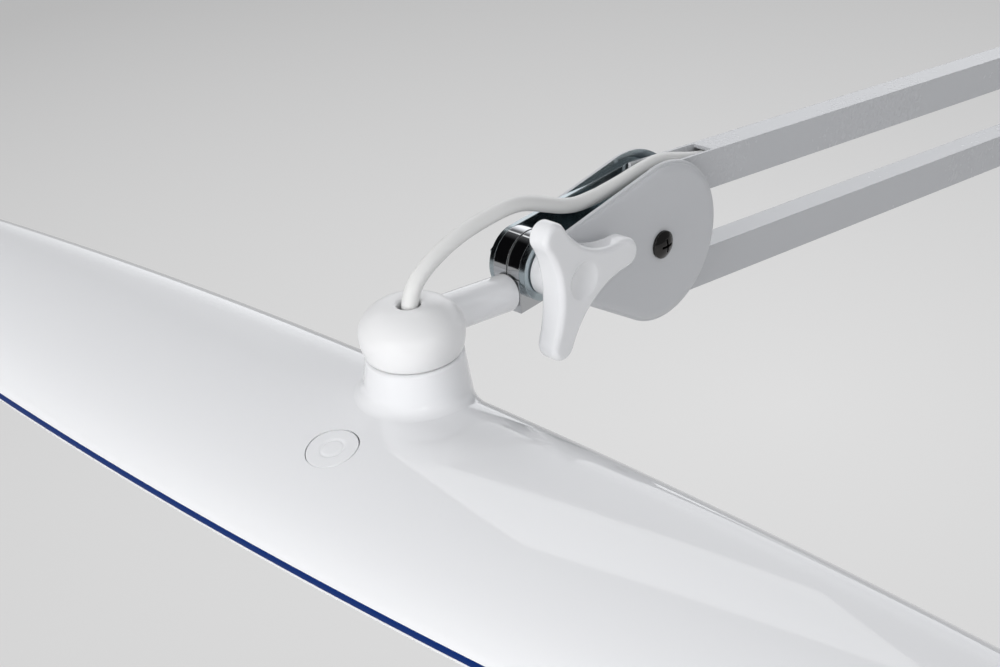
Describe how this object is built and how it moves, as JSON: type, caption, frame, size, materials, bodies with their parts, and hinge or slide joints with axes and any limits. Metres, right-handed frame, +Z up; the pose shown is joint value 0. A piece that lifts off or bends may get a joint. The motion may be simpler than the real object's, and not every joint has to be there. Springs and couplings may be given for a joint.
{
  "type": "led work lamp",
  "caption": "Clamp-on work lamp: a long bowed white head with a blue edge strip on a tilting, swivelling neck, carried by a sprung two-section parallel arm.",
  "frame": {"origin": "on the table top under the swivel axis, at the face of the upper jaw's pad", "axes": "+Z up along the swivel axis, +X along the head, arms in the YZ plane with the head towards -Y"},
  "size_m": [0.523, 0.6128, 0.757],
  "materials": {
    "painted_white": "white powder coat, satin",
    "gloss_white": "gloss white moulding",
    "satin_white": "satin white moulding",
    "grey_cover": "light grey satin moulding",
    "zinc": "bright zinc plate",
    "chrome": "polished chrome plate",
    "dark_nickel": "dark nickel plate",
    "spring_steel": "bright spring wire",
    "aluminium": "mill finish",
    "opal": "opal light diffuser",
    "blue": "royal blue gloss strip",
    "lead_white": "off-white flexible lead sheath",
    "rubber": "black rubber",
    "nylon": "natural nylon",
    "brass": "turned brass",
    "board_white": "white solder resist",
    "board_green": "green circuit board",
    "phosphor": "light source with yellow phosphor"
  },
  "bodies": {
    "clamp": {"clamp_frame": "painted_white", "jaw_pad": "rubber", "socket_bush": "nylon"},
    "clamp_slider": {"clamp_pad": "rubber"},
    "clamp_spindle": {"clamp_screw": "zinc", "tee_bar": "zinc"},
    "base": {"swivel_post": "zinc", "base_bracket": "zinc", "base_pivot_pins": "zinc", "base_covers": "grey_cover", "base_cover_screws": "dark_nickel", "base_spring_post": "zinc"},
    "lower_rear": {"lower_rear_bar": "painted_white", "lower_spring_pin": "zinc", "lower_springs": "spring_steel", "lower_arm_lead": "lead_white", "cord_gland": "satin_white"},
    "lower_front": {"lower_front_bar": "painted_white"},
    "elbow": {"elbow_plates": "zinc", "elbow_pivot_pins": "zinc", "elbow_covers": "grey_cover", "elbow_cover_screws": "dark_nickel", "elbow_spacer": "zinc", "elbow_spring_post": "zinc", "elbow_lead": "lead_white"},
    "forearm_upper": {"forearm_upper_bar": "painted_white", "forearm_spring_pin": "zinc", "forearm_springs": "spring_steel", "forearm_lead": "lead_white"},
    "forearm_lower": {"forearm_lower_bar": "painted_white"},
    "head_bracket": {"bracket_plates": "zinc", "head_pivot_pins": "zinc", "bracket_spacer": "zinc", "near_cover": "grey_cover", "far_cover": "grey_cover", "cover_screws": "dark_nickel", "bracket_knuckle": "chrome", "knuckle_bolt": "zinc", "friction_washer": "nylon", "knob_washer": "zinc", "head_lead": "lead_white"},
    "tilt_knob": {"wing_knob": "gloss_white", "knob_insert": "brass"},
    "neck": {"neck_knuckle": "chrome", "neck_tube": "painted_white", "neck_dome": "satin_white", "swivel_stem": "zinc", "swivel_washer": "nylon", "stem_nut": "zinc"},
    "head": {"head_shell": "gloss_white", "accent_band": "blue", "bottom_frame": "gloss_white", "diffuser": "opal", "heat_plate": "aluminium", "led_boards": "board_white", "leds": "phosphor", "control_board": "board_green", "plate_screws": "zinc"},
    "button": {"power_button": "gloss_white"}
  },
  "joints": [
    {"name": "clamp_travel", "type": "slide", "parent": "clamp", "child": "clamp_slider", "axis": [0, 0, 1], "range_m": [-0.015, 0.0375]},
    {"name": "clamp_screw_turn", "type": "hinge", "parent": "clamp_slider", "child": "clamp_spindle", "pos_m": [0, -0.012, -0.043], "axis": [0, 0, 1], "range_deg": [-3620, 9020]},
    {"name": "base_swivel", "type": "hinge", "parent": "clamp", "child": "base", "pos_m": [0, 0, 0.04], "axis": [0, 0, 1], "continuous": true},
    {"name": "lower_arm_pitch", "type": "hinge", "parent": "base", "child": "lower_rear", "pos_m": [0, 0.015, 0.074], "axis": [1, 0, 0], "range_deg": [-25, 40], "deforming": ["lower_springs", "elbow_lead"]},
    {"name": "lower_front_follow", "type": "hinge", "parent": "base", "child": "lower_front", "pos_m": [0, -0.015, 0.074], "axis": [1, 0, 0], "range_deg": [-25.5, 40.5]},
    {"name": "elbow_level", "type": "hinge", "parent": "lower_rear", "child": "elbow", "pos_m": [0, 0.07067, 0.47011], "axis": [1, 0, 0], "range_deg": [-40.5, 25.5]},
    {"name": "forearm_pitch", "type": "hinge", "parent": "elbow", "child": "forearm_upper", "pos_m": [0, 0.02667, 0.52211], "axis": [1, 0, 0], "range_deg": [-40, 42], "deforming": ["forearm_springs"]},
    {"name": "forearm_lower_follow", "type": "hinge", "parent": "elbow", "child": "forearm_lower", "pos_m": [0, 0.02667, 0.49211], "axis": [1, 0, 0], "range_deg": [-40.5, 42.5]},
    {"name": "head_bracket_level", "type": "hinge", "parent": "forearm_upper", "child": "head_bracket", "pos_m": [0, -0.36761, 0.5895], "axis": [1, 0, 0], "range_deg": [-42.5, 40.5]},
    {"name": "head_tilt", "type": "hinge", "parent": "head_bracket", "child": "neck", "pos_m": [0, -0.42091, 0.5873], "axis": [1, 0, 0], "range_deg": [-90, 45], "deforming": ["head_lead"]},
    {"name": "tilt_knob_turn", "type": "hinge", "parent": "head_bracket", "child": "tilt_knob", "pos_m": [0.015, -0.42091, 0.5873], "axis": [1, 0, 0], "range_deg": [-180, 180]},
    {"name": "head_swivel", "type": "hinge", "parent": "neck", "child": "head", "pos_m": [0, -0.46461, 0.5817], "axis": [0, 0, 1], "range_deg": [-30, 30]},
    {"name": "button_press", "type": "slide", "parent": "head", "child": "button", "axis": [0, 0.1908, -0.9816], "range_m": [0, 0.0008], "stiffness_N_per_m": 1200, "springref_m": -0.0006}
  ],
  "couplings": [
    {"joint": "clamp_screw_turn", "follows": "clamp_travel", "rad_per_m": 4188.8},
    {"joint": "lower_front_follow", "follows": "lower_arm_pitch", "ratio": 1},
    {"joint": "elbow_level", "follows": "lower_arm_pitch", "ratio": -1},
    {"joint": "forearm_lower_follow", "follows": "forearm_pitch", "ratio": 1},
    {"joint": "head_bracket_level", "follows": "forearm_pitch", "ratio": -1}
  ]
}
